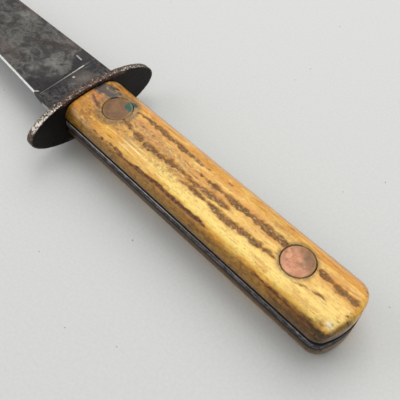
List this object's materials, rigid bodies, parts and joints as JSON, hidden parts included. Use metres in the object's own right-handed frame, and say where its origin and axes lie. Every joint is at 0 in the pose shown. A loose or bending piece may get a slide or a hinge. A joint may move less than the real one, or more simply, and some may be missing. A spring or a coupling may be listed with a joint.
{
  "type": "fixed-blade knife",
  "caption": "Fixed-blade hunting and whittling knife: full-tang steel blade with a plunge-ground bevel, flat oval guard, amber bone grip scales and flush copper rivets.",
  "frame": {"origin": "middle of the tang's way through the guard's front face, halfway through the steel", "axes": "+X along the blade to its tip, +Y to the cutting edge, +Z out of the mark side"},
  "size_m": [0.2328, 0.049, 0.0186],
  "materials": {
    "blade_steel": "satin",
    "guard_steel": "satin",
    "bone": "satin",
    "copper": "satin"
  },
  "bodies": {
    "root": {"blade": "blade_steel", "guard": "guard_steel", "mark_side_scale": "bone", "pile_side_scale": "bone", "front_rivet_female": "copper", "front_rivet_male": "copper", "rear_rivet_female": "copper", "rear_rivet_male": "copper"}
  },
  "joints": []
}
